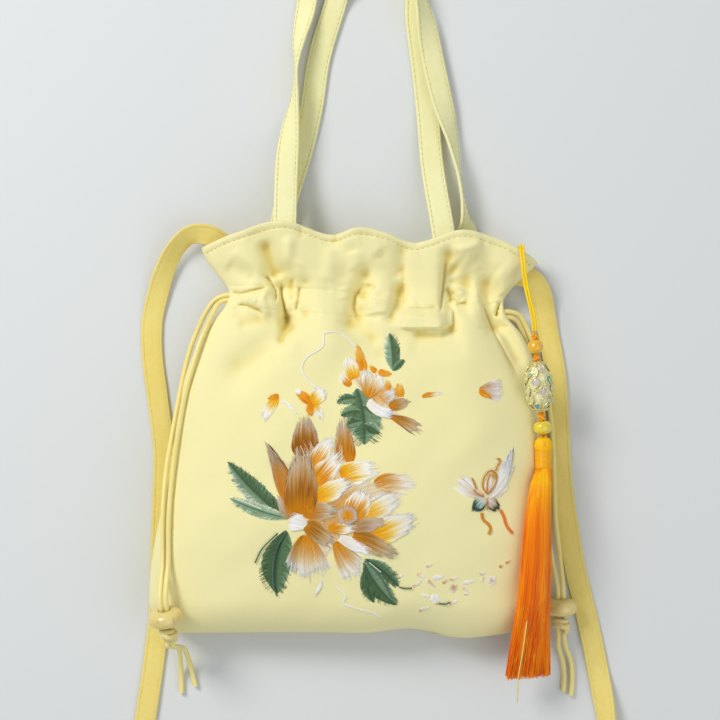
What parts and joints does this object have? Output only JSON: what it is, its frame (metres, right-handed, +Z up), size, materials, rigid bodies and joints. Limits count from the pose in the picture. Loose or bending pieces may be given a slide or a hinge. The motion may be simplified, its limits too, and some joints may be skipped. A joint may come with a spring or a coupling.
{
  "type": "drawstring handbag",
  "caption": "Soft embroidered drawstring pouch bag lying on its back, with twin handles, a long shoulder strap, wooden toggle beads and a beaded tassel charm.",
  "frame": {"origin": "on the flat of the back panel, which the bag lies on, at the middle of the pouch", "axes": "+Z up from the surface, out of the embroidered front; +Y from the base to the handles; +X to the right of the front"},
  "size_m": [0.2814, 0.7189, 0.0462],
  "materials": {
    "cloth": "soft satin-faced cotton, pale yellow",
    "band": "the same cloth, folded and stitched along both edges",
    "cord": "braided rayon cord, slight sheen",
    "wood": "pale wood with clear gloss varnish",
    "charm_cord": "glossy knotted cord, bright yellow to orange",
    "amber": "polished, slightly cloudy amber yellow",
    "gilt": "pale gilt open work with enamelled petals",
    "silk": "silky loose threads, yellow at the head and orange at the tips"
  },
  "bodies": {
    "root": {"front_panel": "cloth", "back_panel": "cloth", "handle_front": "band", "handle_rear": "band", "shoulder_strap": "band", "bead_left": "wood", "knot_left": "cord", "drawstring_left_a": "cord", "cord_end_left_a": "cord", "drawstring_left_b": "cord", "cord_end_left_b": "cord", "bead_right": "wood", "knot_right": "cord", "drawstring_right_a": "cord", "cord_end_right_a": "cord", "drawstring_right_b": "cord", "cord_end_right_b": "cord", "charm_cord_a": "charm_cord", "charm_cord_b": "charm_cord", "charm_thread": "charm_cord", "charm_bead_top": "amber", "filigree_bead": "gilt", "charm_bead_low": "amber", "tassel": "silk"}
  },
  "joints": []
}
